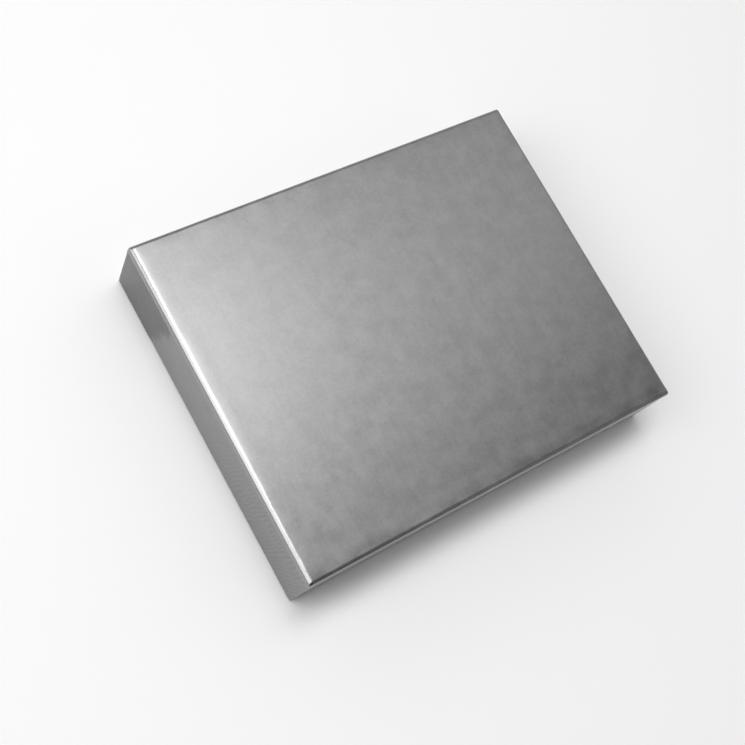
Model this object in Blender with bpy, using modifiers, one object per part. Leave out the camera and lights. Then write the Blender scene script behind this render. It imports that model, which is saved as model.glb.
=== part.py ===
"""Gift box with a lift-off lid, wrapped in silver metallised paper, with a folded leather wallet lying in it.

The box stands on the XY plane with its long side along X and its front at -Y. The lid lifts along +Z.
Each tray is a blank of greyboard whose walls fold up, with paper stays round its corners, a wrap glued
over all of it and turned in over the rim, and a liner sheet inside. The wallet lies on the base's liner
with its spine at -X and its two halves folded on each other. The box takes its size from the wallet.
"""

import math

import bmesh
import bpy

# Wallet, folded, in metres. The space between its halves holds the pockets of both.
WALLET_LENGTH = 0.121
WALLET_WIDTH = 0.095
COVER_LEATHER = 0.0014
SHIELD = 0.0003
LINING = 0.0004
LAYER_GAP = 0.0002
HEM = 0.0016
SPINE_RADIUS = 0.0058
COVER_CORNER = 0.004
POCKET_CORNER = 0.0025
NOTE_SPACE = 0.0007
POCKET_LEATHER = 0.0008
POCKET_SIDE_MARGIN = 0.004
POCKET_SPINE_MARGIN = 0.011
CARD_SLOTS = 2
CARD_SLOT_STEP = 0.012
WINDOW_SHEET = 0.0003
WINDOW_FRAME_BORDER = 0.009
WINDOW_LAP = 0.003
COIN_SPACE = 0.0018
COIN_POUCH_MARGIN = 0.003
COIN_FLAP_OVERHANG = 0.0012
COIN_FLAP_REACH = 0.038
SNAP_CAP_RADIUS = 0.0062
SNAP_CAP_THICKNESS = 0.0006
SNAP_SOCKET_RADIUS = 0.0034
SNAP_NECK_RADIUS = 0.0022
SNAP_FROM_FLAP_END = 0.010
SNAP_GAP = 0.0001
THREAD_RADIUS = 0.0002
THREAD_INSET = 0.003
THREAD_CORNER = 0.004
THREAD_LIFT = 0.0001

# Box. Its walls and panels are stacks of board and paper round the wallet.
PAPER = 0.0002
BOARD = 0.0012
GLUE_GAP = 0.00015
EDGE_RADIUS = 0.0016
WALLET_CLEARANCE = 0.0016
WALLET_REST_GAP = 0.00015
WALLET_HEADROOM = 0.00085
FIT_CLEARANCE = 0.0004
REST_CLEARANCE = 0.0003
LID_RIM_LIFT = 0.0005
LID_TURN_IN = 0.014
BASE_TURN_IN = 0.012
STAY_LEG = 0.011
STAY_END_GAP = 0.001
FOLD_SLIT = 0.0003
FOLD_SLIT_LENGTH = 0.006
LINER_MARGIN = 0.0008

CUT_OVERRUN = 0.002
EDGE_SEGMENTS = 4
SPINE_SEGMENTS = 8
CORNER_SEGMENTS = 5
SNAP_SIDES = 32
THREAD_CORNER_STEPS = 6
SPINE_RADIUS_LIMIT_SHARE = 0.45
SNAP_POST_SHARE = 0.35
SNAP_RIM_SHARE = 0.4

# A tray's wall, from its outside face inwards
STAY_OFFSET = PAPER + GLUE_GAP
BOARD_OFFSET = STAY_OFFSET + PAPER + GLUE_GAP
TURN_IN_OFFSET = BOARD_OFFSET + BOARD + GLUE_GAP
WALL_STACK = TURN_IN_OFFSET + PAPER

# A tray's panel, from its outside face inwards
PANEL_BOARD_OFFSET = PAPER + GLUE_GAP
PANEL_LINER_OFFSET = PANEL_BOARD_OFFSET + BOARD + GLUE_GAP
PANEL_STACK = PANEL_LINER_OFFSET + PAPER

# The wallet's thickness: both covers, the card side's stack, the coin side's stack and the snap's cap
LINING_OFFSET = COVER_LEATHER + LAYER_GAP + SHIELD + LAYER_GAP
INSIDE_OFFSET = LINING_OFFSET + LINING
PANEL_OFFSET = INSIDE_OFFSET + NOTE_SPACE
POCKET_STEP = POCKET_LEATHER + LAYER_GAP
WINDOW_STACK = WINDOW_SHEET + LAYER_GAP + POCKET_LEATHER
CARD_SIDE = PANEL_OFFSET + (1 + CARD_SLOTS) * POCKET_STEP + WINDOW_STACK
COIN_POUCH_THICKNESS = COIN_SPACE + 2 * POCKET_LEATHER
COIN_SIDE = PANEL_OFFSET + 2 * POCKET_STEP + COIN_POUCH_THICKNESS
FOLD_SPACE = SNAP_GAP + SNAP_CAP_THICKNESS + 2 * LAYER_GAP
WALLET_THICKNESS = CARD_SIDE + COIN_SIDE + FOLD_SPACE
WALLET_SPINE_RADIUS = min(SPINE_RADIUS, SPINE_RADIUS_LIMIT_SHARE * WALLET_THICKNESS)
SEAM_STAND = THREAD_LIFT + 2 * THREAD_RADIUS

# Pocket panels, between the spine and the free edges
POCKET_LENGTH = WALLET_LENGTH - POCKET_SPINE_MARGIN - POCKET_SIDE_MARGIN
POCKET_WIDTH = WALLET_WIDTH - 2 * POCKET_SIDE_MARGIN
POCKET_CENTRE = (POCKET_SPINE_MARGIN - POCKET_SIDE_MARGIN) / 2
COIN_POUCH_LENGTH = POCKET_LENGTH - 2 * COIN_POUCH_MARGIN
COIN_POUCH_DEPTH = POCKET_WIDTH - 2 * COIN_POUCH_MARGIN - COIN_FLAP_OVERHANG - POCKET_LEATHER

# Box sizes that follow from the wallet
BASE_LENGTH = WALLET_LENGTH + 2 * (WALLET_CLEARANCE + WALL_STACK)
BASE_WIDTH = WALLET_WIDTH + 2 * (WALLET_CLEARANCE + WALL_STACK)
LID_LENGTH = BASE_LENGTH + 2 * (FIT_CLEARANCE + WALL_STACK)
LID_WIDTH = BASE_WIDTH + 2 * (FIT_CLEARANCE + WALL_STACK)
WALLET_BOTTOM = PANEL_STACK + WALLET_REST_GAP + SEAM_STAND
BOX_HEIGHT = WALLET_BOTTOM + WALLET_THICKNESS + SEAM_STAND + WALLET_HEADROOM + PANEL_STACK
LID_HEIGHT = BOX_HEIGHT - LID_RIM_LIFT
BASE_HEIGHT = BOX_HEIGHT - PANEL_STACK - REST_CLEARANCE

# Faces of a box, by the direction that each one looks
LEFT, RIGHT, FRONT, BACK, DOWN, UP = (-1, 0, 0), (1, 0, 0), (0, -1, 0), (0, 1, 0), (0, 0, -1), (0, 0, 1)
ALL_FACES = {LEFT, RIGHT, FRONT, BACK, DOWN, UP}
CORNERS = (
    ("front_left", -1, -1),
    ("front_right", 1, -1),
    ("back_left", -1, 1),
    ("back_right", 1, 1),
)

# Colour, roughness and metallic value of each material
MATERIALS = {
    "silver_paper": ((0.60, 0.60, 0.61), 0.34, 0.9),
    "greyboard": ((0.33, 0.31, 0.28), 0.9, 0.0),
    "white_paper": ((0.80, 0.80, 0.78), 0.75, 0.0),
    "stay_paper": ((0.62, 0.52, 0.38), 0.8, 0.0),
    "brown_leather": ((0.060, 0.028, 0.015), 0.5, 0.0),
    "lining_cloth": ((0.030, 0.026, 0.024), 0.85, 0.0),
    "shield_foil": ((0.55, 0.55, 0.56), 0.4, 0.9),
    "clear_sheet": ((0.80, 0.84, 0.86), 0.12, 0.0),
    "brass": ((0.70, 0.52, 0.24), 0.3, 1.0),
    "thread": ((0.10, 0.055, 0.03), 0.8, 0.0),
}


def clear_scene():
    for existing in list(bpy.data.objects):
        bpy.data.objects.remove(existing, do_unlink=True)


def add_collection(name):
    group = bpy.data.collections.new(name)
    bpy.context.scene.collection.children.link(group)
    return group


def material(name):
    made = bpy.data.materials.get(name)
    if made is None:
        colour, roughness, metallic = MATERIALS[name]
        made = bpy.data.materials.new(name)
        made.use_nodes = True
        shader = made.node_tree.nodes["Principled BSDF"]
        shader.inputs["Base Color"].default_value = (*colour, 1.0)
        shader.inputs["Roughness"].default_value = roughness
        shader.inputs["Metallic"].default_value = metallic
    return made


def add_carrier(name, height):
    """An empty that its pieces are placed from, standing on the Z axis."""
    carrier = bpy.data.objects.new(name, None)
    PARTS.objects.link(carrier)
    carrier.location.z = height
    return carrier


def add_piece(name, mesh, finish, at, carrier=None):
    mesh.materials.append(material(finish))
    piece = bpy.data.objects.new(name, mesh)
    PARTS.objects.link(piece)
    piece.location = at
    piece.parent = carrier
    return piece


def cut(piece, mesh, at, turn=0.0):
    """Cuts a piece, or another cutter, with a hidden block placed from the piece's own carrier."""
    tool = bpy.data.objects.new(mesh.name, mesh)
    CUTTERS.objects.link(tool)
    tool.location = at
    tool.rotation_euler.z = turn
    tool.parent = piece.parent
    tool.hide_render = True
    tool.display_type = "WIRE"
    boolean = piece.modifiers.new(mesh.name, "BOOLEAN")
    boolean.operation = "DIFFERENCE"
    boolean.object = tool
    return tool


def thicken(piece, thickness):
    """Gives an open sheet its thickness, inwards from the face that it was drawn at."""
    solidify = piece.modifiers.new("thickness", "SOLIDIFY")
    solidify.thickness = thickness
    solidify.offset = -1.0
    solidify.use_even_offset = True


def finish_mesh(name, bm):
    mesh = bpy.data.meshes.new(name)
    bm.to_mesh(mesh)
    bm.free()
    mesh.shade_smooth()
    mesh.set_sharp_from_angle(angle=math.radians(35))
    return mesh


def block_bmesh(size):
    """A block with its origin at the middle of its underside."""
    bm = bmesh.new()
    bmesh.ops.create_cube(bm, size=1.0)
    bmesh.ops.scale(bm, vec=size, verts=bm.verts)
    bmesh.ops.translate(bm, vec=(0.0, 0.0, size[2] / 2), verts=bm.verts)
    return bm


def round_edges(bm, radius, segments):
    shared = [edge for edge in bm.edges if len(edge.link_faces) == 2]
    bmesh.ops.bevel(bm, geom=shared, offset=radius, segments=segments, profile=0.5, affect="EDGES")


def block(name, size):
    return finish_mesh(name, block_bmesh(size))


def plate(name, size, corner):
    """A flat block whose four upright corners are rounded."""
    bm = block_bmesh(size)
    upright = [edge for edge in bm.edges if edge.verts[0].co.xy == edge.verts[1].co.xy]
    bmesh.ops.bevel(bm, geom=upright, offset=corner, segments=CORNER_SEGMENTS, profile=0.5, affect="EDGES")
    return finish_mesh(name, bm)


def sheet(name, size, faces, radius=0.0, segments=EDGE_SEGMENTS, corner=0.0):
    """The named faces of a block as one open surface.

    The edges that the faces share are rounded by the radius, and the sheet's free corners by the corner.
    """
    bm = block_bmesh(size)
    bm.normal_update()
    dropped = [face for face in bm.faces if tuple(round(c) for c in face.normal) not in faces]
    bmesh.ops.delete(bm, geom=dropped, context="FACES")
    free_corners = [vert for vert in bm.verts if len(vert.link_faces) == 1]
    if radius > 0.0:
        round_edges(bm, radius, segments)
    if corner > 0.0:
        bmesh.ops.bevel(
            bm, geom=free_corners, offset=corner, segments=CORNER_SEGMENTS, profile=0.5, affect="VERTICES"
        )
    return finish_mesh(name, bm)


def tray_block(name, size, open_face, radius):
    """A block with every edge rounded but those of one face, which stays flat and square."""
    bm = block_bmesh(size)
    bm.normal_update()
    dropped = [face for face in bm.faces if tuple(round(c) for c in face.normal) == open_face]
    bmesh.ops.delete(bm, geom=dropped, context="FACES")
    if radius > 0.0:
        round_edges(bm, radius, EDGE_SEGMENTS)
    bmesh.ops.holes_fill(bm, edges=[edge for edge in bm.edges if edge.is_boundary])
    bmesh.ops.recalc_face_normals(bm, faces=bm.faces)
    return finish_mesh(name, bm)


def disc(name, radius, height, rim=0.0):
    """A round plate with its origin at the middle of its underside, and with both rims rounded if asked."""
    bm = bmesh.new()
    sides = {"segments": SNAP_SIDES, "radius1": radius, "radius2": radius, "depth": height}
    bmesh.ops.create_cone(bm, cap_ends=True, **sides)
    bmesh.ops.translate(bm, vec=(0.0, 0.0, height / 2), verts=bm.verts)
    if rim > 0.0:
        rims = [edge for edge in bm.edges if edge.verts[0].co.z == edge.verts[1].co.z]
        bmesh.ops.bevel(bm, geom=rims, offset=rim, segments=2, profile=0.5, affect="EDGES")
    return finish_mesh(name, bm)


def inner_radius(offset):
    return max(EDGE_RADIUS - offset, 0.0)


def add_board(name, length, width, low_z, high_z, open_face, carrier=None):
    """A tray blank of greyboard: a panel with four walls folded from it, and a slit at each folded corner."""
    rim_down = open_face == DOWN
    height = high_z - low_z
    outside = tray_block(name, (length, width, height), open_face, inner_radius(BOARD_OFFSET))
    board = add_piece(name, outside, "greyboard", (0.0, 0.0, low_z), carrier)
    inside_size = (length - 2 * BOARD, width - 2 * BOARD, height - BOARD + CUT_OVERRUN)
    inside_low = low_z - CUT_OVERRUN if rim_down else low_z + BOARD
    cut(board, block(f"{name}_inside", inside_size), (0.0, 0.0, inside_low))
    slit_low = low_z - CUT_OVERRUN if rim_down else low_z + BOARD + FOLD_SLIT
    slit_high = high_z - BOARD - FOLD_SLIT if rim_down else high_z + CUT_OVERRUN
    for corner, side_x, side_y in CORNERS:
        slit = block(f"{name}_slit_{corner}", (FOLD_SLIT_LENGTH, FOLD_SLIT, slit_high - slit_low))
        cut(board, slit, (side_x * length / 2, side_y * width / 2, slit_low), side_x * side_y * math.pi / 4)


def add_wrap(name, length, width, height, open_face, turn_in, carrier=None):
    """The silver paper on a tray: a skin outside, a fold over the rim and a band turned in inside the walls."""
    rim_down = open_face == DOWN
    skin = tray_block(name, (length, width, height), open_face, EDGE_RADIUS)
    wrap = add_piece(name, skin, "silver_paper", (0.0, 0.0, 0.0), carrier)

    # The room between skin and band, where the stays and the board lie, and all beyond the band
    room_size = (length - 2 * PAPER, width - 2 * PAPER, height - 2 * PAPER)
    room = cut(wrap, tray_block(f"{name}_room", room_size, open_face, inner_radius(PAPER)), (0.0, 0.0, PAPER))
    band_size = (length - 2 * TURN_IN_OFFSET, width - 2 * TURN_IN_OFFSET, turn_in + CUT_OVERRUN)
    band_low = -CUT_OVERRUN if rim_down else height - turn_in
    cut(room, block(f"{name}_band", band_size), (0.0, 0.0, band_low))

    # The open middle, inside the band
    hollow_size = (length - 2 * WALL_STACK, width - 2 * WALL_STACK, turn_in + 3 * CUT_OVERRUN)
    hollow_low = -2 * CUT_OVERRUN if rim_down else height - turn_in - CUT_OVERRUN
    cut(wrap, block(f"{name}_hollow", hollow_size), (0.0, 0.0, hollow_low))


def add_stays(prefix, length, width, low_z, high_z, carrier=None):
    """Four strips of paper tape, each folded round one corner of the board."""
    for corner, side_x, side_y in CORNERS:
        name = f"{prefix}_corner_stay_{corner}"
        faces = {(side_x, 0, 0), (0, side_y, 0)}
        strip = sheet(name, (STAY_LEG, STAY_LEG, high_z - low_z), faces, inner_radius(STAY_OFFSET))
        at_x = side_x * (length / 2 - STAY_OFFSET - STAY_LEG / 2)
        at_y = side_y * (width / 2 - STAY_OFFSET - STAY_LEG / 2)
        thicken(add_piece(name, strip, "stay_paper", (at_x, at_y, low_z), carrier), PAPER)


def add_liner(name, length, width, low_z, carrier=None):
    inset = 2 * (WALL_STACK + LINER_MARGIN)
    liner = block(name, (length - inset, width - inset, PAPER))
    add_piece(name, liner, "white_paper", (0.0, 0.0, low_z), carrier)


def add_lid():
    lid = add_carrier("lid_lift", LID_RIM_LIFT)
    board_low = PAPER + GLUE_GAP
    board_high = LID_HEIGHT - PANEL_BOARD_OFFSET
    board_length = LID_LENGTH - 2 * BOARD_OFFSET
    board_width = LID_WIDTH - 2 * BOARD_OFFSET
    add_wrap("lid_wrap", LID_LENGTH, LID_WIDTH, LID_HEIGHT, DOWN, LID_TURN_IN, lid)
    add_board("lid_board", board_length, board_width, board_low, board_high, DOWN, lid)
    stay_high = board_high - EDGE_RADIUS - STAY_END_GAP
    add_stays("lid", LID_LENGTH, LID_WIDTH, board_low + STAY_END_GAP, stay_high, lid)
    add_liner("lid_liner", LID_LENGTH, LID_WIDTH, LID_HEIGHT - PANEL_STACK, lid)


def add_base():
    board_high = BASE_HEIGHT - PAPER - GLUE_GAP
    board_length = BASE_LENGTH - 2 * BOARD_OFFSET
    board_width = BASE_WIDTH - 2 * BOARD_OFFSET
    add_wrap("base_wrap", BASE_LENGTH, BASE_WIDTH, BASE_HEIGHT, UP, BASE_TURN_IN)
    add_board("base_board", board_length, board_width, PANEL_BOARD_OFFSET, board_high, UP)
    stay_low = PANEL_BOARD_OFFSET + EDGE_RADIUS + STAY_END_GAP
    add_stays("base", BASE_LENGTH, BASE_WIDTH, stay_low, board_high - STAY_END_GAP)
    add_liner("base_liner", BASE_LENGTH, BASE_WIDTH, PANEL_LINER_OFFSET)


def add_folded_sheet(name, offset, thickness, hem, finish, wallet):
    """A sheet folded round the wallet's spine: back half, spine and front half in one piece."""
    size = (WALLET_LENGTH - offset - hem, WALLET_WIDTH - 2 * hem, WALLET_THICKNESS - 2 * offset)
    radius = max(WALLET_SPINE_RADIUS - offset, thickness + LAYER_GAP)
    folded = sheet(name, size, {LEFT, DOWN, UP}, radius, SPINE_SEGMENTS, COVER_CORNER)
    thicken(add_piece(name, folded, finish, ((offset - hem) / 2, 0.0, offset), wallet), thickness)


def add_card_side(wallet):
    """The lower half: a panel, stepped card slots and a framed window for an identity card."""
    z = PANEL_OFFSET
    panel = plate("card_panel", (POCKET_LENGTH, POCKET_WIDTH, POCKET_LEATHER), POCKET_CORNER)
    add_piece("card_panel", panel, "brown_leather", (POCKET_CENTRE, 0.0, z), wallet)
    depth = POCKET_WIDTH
    for number in range(1, CARD_SLOTS + 1):
        z += POCKET_STEP
        depth -= CARD_SLOT_STEP
        name = f"card_slot_{number}"
        at = (POCKET_CENTRE, (depth - POCKET_WIDTH) / 2, z)
        slot = plate(name, (POCKET_LENGTH, depth, POCKET_LEATHER), POCKET_CORNER)
        add_piece(name, slot, "brown_leather", at, wallet)
    z += POCKET_STEP
    depth -= CARD_SLOT_STEP
    middle_y = (depth - POCKET_WIDTH) / 2
    inset = 2 * (WINDOW_FRAME_BORDER - WINDOW_LAP)
    clear = block("id_window", (POCKET_LENGTH - inset, depth - inset, WINDOW_SHEET))
    add_piece("id_window", clear, "clear_sheet", (POCKET_CENTRE, middle_y, z), wallet)
    z += WINDOW_SHEET + LAYER_GAP
    outline = plate("id_window_frame", (POCKET_LENGTH, depth, POCKET_LEATHER), POCKET_CORNER)
    frame = add_piece("id_window_frame", outline, "brown_leather", (POCKET_CENTRE, middle_y, z), wallet)
    border = 2 * WINDOW_FRAME_BORDER
    opening_size = (POCKET_LENGTH - border, depth - border, POCKET_LEATHER + 2 * CUT_OVERRUN)
    opening = plate("id_opening", opening_size, POCKET_CORNER)
    cut(frame, opening, (POCKET_CENTRE, middle_y, z - CUT_OVERRUN))


def add_coin_side(wallet):
    """The upper half: a panel, a pouch under it, and a flap that closes the pouch's mouth with a snap."""
    panel_z = WALLET_THICKNESS - PANEL_OFFSET - POCKET_LEATHER
    panel = plate("coin_panel", (POCKET_LENGTH, POCKET_WIDTH, POCKET_LEATHER), POCKET_CORNER)
    add_piece("coin_panel", panel, "brown_leather", (POCKET_CENTRE, 0.0, panel_z), wallet)

    # The pouch opens towards the wallet's back edge
    pouch_z = panel_z - LAYER_GAP - COIN_POUCH_THICKNESS
    pouch_y = COIN_POUCH_MARGIN + (COIN_POUCH_DEPTH - POCKET_WIDTH) / 2
    pouch_size = (COIN_POUCH_LENGTH, COIN_POUCH_DEPTH, COIN_POUCH_THICKNESS)
    pouch_sheet = sheet("coin_pouch", pouch_size, ALL_FACES - {BACK})
    pouch = add_piece("coin_pouch", pouch_sheet, "brown_leather", (POCKET_CENTRE, pouch_y, pouch_z), wallet)
    thicken(pouch, POCKET_LEATHER)

    # The flap lies under the pouch and folds up round its mouth to the panel
    flap_z = pouch_z - POCKET_STEP
    mouth_y = pouch_y + COIN_POUCH_DEPTH / 2
    flap_depth = COIN_FLAP_REACH + COIN_FLAP_OVERHANG + POCKET_LEATHER
    flap_y = mouth_y - COIN_FLAP_REACH + flap_depth / 2
    flap_size = (COIN_POUCH_LENGTH, flap_depth, panel_z - LAYER_GAP - flap_z)
    flap_sheet = sheet("coin_flap", flap_size, {BACK, DOWN}, POCKET_LEATHER)
    flap = add_piece("coin_flap", flap_sheet, "brown_leather", (POCKET_CENTRE, flap_y, flap_z), wallet)
    thicken(flap, POCKET_LEATHER)
    add_snap(flap, pouch, flap_z, pouch_z, mouth_y - COIN_FLAP_REACH + SNAP_FROM_FLAP_END, wallet)


def add_snap(flap, pouch, flap_z, pouch_z, snap_y, wallet):
    """A cap and socket on the flap, and a stud in the pouch's lower wall with its post riveted inside."""
    def stamping(name, radius, height, z, rim=0.0):
        return add_piece(name, disc(name, radius, height, rim), "brass", (POCKET_CENTRE, snap_y, z), wallet)

    def round_hole(piece, name, radius, low_z, high_z):
        cut(piece, disc(name, radius + SNAP_GAP, high_z - low_z), (POCKET_CENTRE, snap_y, low_z))

    seat_z = flap_z + POCKET_LEATHER / 2
    pouch_floor = pouch_z + POCKET_LEATHER
    cap_z = flap_z - SNAP_GAP - SNAP_CAP_THICKNESS
    post_height = SNAP_POST_SHARE * COIN_SPACE
    stamping("snap_cap", SNAP_CAP_RADIUS, SNAP_CAP_THICKNESS, cap_z, SNAP_RIM_SHARE * SNAP_CAP_THICKNESS)
    socket = stamping("snap_socket", SNAP_SOCKET_RADIUS, POCKET_LEATHER, flap_z)
    stamping("snap_stud", SNAP_NECK_RADIUS, pouch_floor - seat_z, seat_z)
    post_z = pouch_floor + SNAP_GAP
    stamping("snap_post", SNAP_SOCKET_RADIUS, post_height, post_z, SNAP_RIM_SHARE * post_height)
    round_hole(flap, "flap_hole", SNAP_SOCKET_RADIUS, flap_z - LAYER_GAP, pouch_z - LAYER_GAP / 2)
    round_hole(socket, "socket_hole", SNAP_NECK_RADIUS, seat_z - SNAP_GAP, pouch_z)
    round_hole(pouch, "pouch_hole", SNAP_NECK_RADIUS, pouch_z - LAYER_GAP, pouch_floor + SNAP_GAP)


def seam_points():
    """The seam round the free edges of one half, from the spine to the far edge and back."""
    start_x = WALLET_SPINE_RADIUS - WALLET_LENGTH / 2
    corner_x = WALLET_LENGTH / 2 - THREAD_INSET - THREAD_CORNER
    edge_y = WALLET_WIDTH / 2 - THREAD_INSET
    points = [(start_x, -edge_y)]
    for side_y, start in ((-1, -math.pi / 2), (1, 0.0)):
        for step in range(THREAD_CORNER_STEPS + 1):
            angle = start + step / THREAD_CORNER_STEPS * math.pi / 2
            x = corner_x + THREAD_CORNER * math.cos(angle)
            y = side_y * (edge_y - THREAD_CORNER) + THREAD_CORNER * math.sin(angle)
            points.append((x, y))
    points.append((start_x, edge_y))
    return points


def add_seam(name, z, wallet):
    curve = bpy.data.curves.new(name, "CURVE")
    curve.dimensions = "3D"
    curve.bevel_depth = THREAD_RADIUS
    curve.bevel_resolution = 1
    curve.use_fill_caps = True
    points = seam_points()
    spline = curve.splines.new("POLY")
    spline.points.add(len(points) - 1)
    for point, (x, y) in zip(spline.points, points):
        point.co = (x, y, 0.0, 1.0)
    add_piece(name, curve, "thread", (0.0, 0.0, z), wallet)


def add_wallet():
    wallet = add_carrier("wallet_place", WALLET_BOTTOM)
    add_folded_sheet("wallet_cover", 0.0, COVER_LEATHER, 0.0, "brown_leather", wallet)
    add_folded_sheet("wallet_rfid_shield", COVER_LEATHER + LAYER_GAP, SHIELD, 2 * HEM, "shield_foil", wallet)
    add_folded_sheet("wallet_lining", LINING_OFFSET, LINING, HEM, "lining_cloth", wallet)
    add_card_side(wallet)
    add_coin_side(wallet)
    add_seam("wallet_seam_back", -THREAD_LIFT - THREAD_RADIUS, wallet)
    add_seam("wallet_seam_front", WALLET_THICKNESS + THREAD_LIFT + THREAD_RADIUS, wallet)


clear_scene()
PARTS = add_collection("wallet_gift_box")
CUTTERS = add_collection("cutters")
add_lid()
add_base()
add_wallet()
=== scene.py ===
# %% [markdown]
# # A silver gift box with a leather wallet in it
#
# The object is a shallow rigid box of greyboard, wrapped in silver metallised paper, with a lid as deep as
# the box. A folded leather wallet lies inside. This script gives them their finishes, and replaces the
# papers, leathers and threads with finer pieces. Blender's unit is the metre, so small sizes are written as
# so many MM.

# %% Load the frame
import math

import bmesh
import bpy
from mathutils import Matrix, Vector, noise


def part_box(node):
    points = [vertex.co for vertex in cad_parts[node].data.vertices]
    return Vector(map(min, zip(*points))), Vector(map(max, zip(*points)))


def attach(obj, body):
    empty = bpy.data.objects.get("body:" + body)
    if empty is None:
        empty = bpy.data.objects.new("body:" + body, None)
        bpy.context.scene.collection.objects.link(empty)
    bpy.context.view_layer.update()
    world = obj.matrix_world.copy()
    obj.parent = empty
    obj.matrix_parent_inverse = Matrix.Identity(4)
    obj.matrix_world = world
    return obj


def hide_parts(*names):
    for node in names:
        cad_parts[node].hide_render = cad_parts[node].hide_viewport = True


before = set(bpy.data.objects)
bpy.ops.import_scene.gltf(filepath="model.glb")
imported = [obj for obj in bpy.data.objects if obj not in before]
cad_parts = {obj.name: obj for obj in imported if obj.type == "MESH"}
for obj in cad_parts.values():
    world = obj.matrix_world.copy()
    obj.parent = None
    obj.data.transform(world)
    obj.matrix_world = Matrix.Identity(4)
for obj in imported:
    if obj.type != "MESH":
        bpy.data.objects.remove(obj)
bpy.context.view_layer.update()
MM = 0.001

# %% [markdown]
# ## Camera
#
# The photograph looks down on the box from its front left, with the camera rolled, so the box lies aslant.
# The place and the two directions below were found from the box's corners in the picture. The columns of a
# camera's turn are its right, its up and the way behind it, so those two directions are made exactly square
# to each other, and up follows from them.

# %% Camera
CAMERA_PLACE = Vector((-0.173, -0.0662, 0.346))
CAMERA_RIGHT = Vector((0.8214, -0.4831, 0.3033))
CAMERA_BACK = Vector((-0.4234, -0.1602, 0.8917))
CAMERA_LENS = 60.4

camera_data = bpy.data.cameras.new("studio_camera")
camera_data.lens = CAMERA_LENS
camera_data.clip_start = 10 * MM
camera = bpy.data.objects.new("studio_camera", camera_data)
bpy.context.scene.collection.objects.link(camera)
back = CAMERA_BACK.normalized()
right = (CAMERA_RIGHT - back * CAMERA_RIGHT.dot(back)).normalized()
turn = Matrix((right, back.cross(right), back)).transposed()
camera.matrix_world = Matrix.Translation(CAMERA_PLACE) @ turn.to_4x4()
bpy.context.scene.camera = camera
bpy.context.scene.view_settings.view_transform = "Standard"
print("camera", tuple(round(v, 3) for v in camera.location))

# %% [markdown]
# ## Colours and nodes
#
# Colours are written as hex values, as a paint chart gives them, and shaders work in linear light. One
# function turns the first into the second. Another adds a shader node, sets it and links its inputs.


# %% Helpers for materials
def linear(hex_colour):
    """An sRGB hex colour as linear red, green, blue and alpha."""
    parts = [int(hex_colour[i : i + 2], 16) / 255 for i in (1, 3, 5)]
    return (*[c / 12.92 if c <= 0.04045 else ((c + 0.055) / 1.055) ** 2.4 for c in parts], 1.0)


def add(tree, kind, links=None, inputs=None, **settings):
    """Adds a node: settings are its attributes, inputs its sockets' values and links what feeds them."""
    made = tree.nodes.new(kind)
    for key, value in settings.items():
        setattr(made, key, value)
    for key, value in (inputs or {}).items():
        made.inputs[key].default_value = value
    for key, source in (links or {}).items():
        tree.links.new(made.inputs[key], source)
    return made


def new_material(name):
    """A material with its node tree, its Principled shader and Object coordinates in metres."""
    made = bpy.data.materials.new(name)
    made.use_nodes = True
    tree = made.node_tree
    shader = tree.nodes["Principled BSDF"]
    place = add(tree, "ShaderNodeTexCoord").outputs["Object"]
    return made, tree, shader, place


# %% [markdown]
# ## Studio
#
# The photograph's background is white, so the floor is a sheet of matt, nearly white paper. A metal paper
# shows its surroundings, so the lights' places and sizes matter more here than their strength. The widest
# softbox stands at the left, where the fold on the top's left edge mirrors it as a white line. The one over
# the box spreads a glow over the top's left half, and the smaller ones let it fade to grey at the right.

# %% The floor
FLOOR_HALF_SIDE = 6.0
FLOOR_GAP = 0.1 * MM


def studio_floor(colour):
    bm = bmesh.new()
    bmesh.ops.create_grid(bm, x_segments=1, y_segments=1, size=FLOOR_HALF_SIDE)
    mesh = bpy.data.meshes.new("studio_floor")
    bm.to_mesh(mesh)
    bm.free()
    floor = bpy.data.objects.new("studio_floor", mesh)
    bpy.context.scene.collection.objects.link(floor)
    made, _, shader, _ = new_material("matt_paper_floor")
    shader.inputs["Base Color"].default_value = colour
    shader.inputs["Roughness"].default_value = 0.9
    mesh.materials.append(made)
    floor.location.z = -FLOOR_GAP


studio_floor(linear("#FAFAFA"))
print("floor:", 2 * FLOOR_HALF_SIDE, "m wide")

# %% The softboxes
LAMP_DISTANCE = 1.0
LAMP_AIM = Vector((0.0, 0.0, 10 * MM))
SOFTBOXES = {
    # Azimuth against the clock from +X and elevation in degrees, width and height in metres, power in watts
    "softbox_side": (168, 51, 0.55, 0.95, 4.2),
    "softbox_over": (112, 76, 0.45, 0.3, 3.0),
    "softbox_top": (60, 70, 0.35, 0.35, 1.07),
    "softbox_right": (22, 58, 0.35, 0.55, 0.7),
    "softbox_front": (-50, 38, 0.5, 0.5, 0.5),
}


def studio_lamp(name, azimuth, elevation, width, height, power):
    lamp = bpy.data.lights.new(name, "AREA")
    lamp.shape = "RECTANGLE"
    lamp.size = width
    lamp.size_y = height
    lamp.energy = power
    made = bpy.data.objects.new(name, lamp)
    bpy.context.scene.collection.objects.link(made)
    turn, lift = math.radians(azimuth), math.radians(elevation)
    flat = math.cos(lift)
    made.location = LAMP_DISTANCE * Vector((flat * math.cos(turn), flat * math.sin(turn), math.sin(lift)))
    made.rotation_euler = (LAMP_AIM - made.location).to_track_quat("-Z", "Y").to_euler()


for name, sizes in SOFTBOXES.items():
    studio_lamp(name, *sizes)
print("softboxes:", len(SOFTBOXES))

# %% [markdown]
# ## The room round the softboxes
#
# The softboxes are small, so most of what the paper mirrors is the room. An evenly grey world would also fill
# the shadow in front of the box. This one is dim, and its walls are bright up to about half height on every
# side but the front. The left wall and the back fold catch them, and the front stays in shade.

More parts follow.
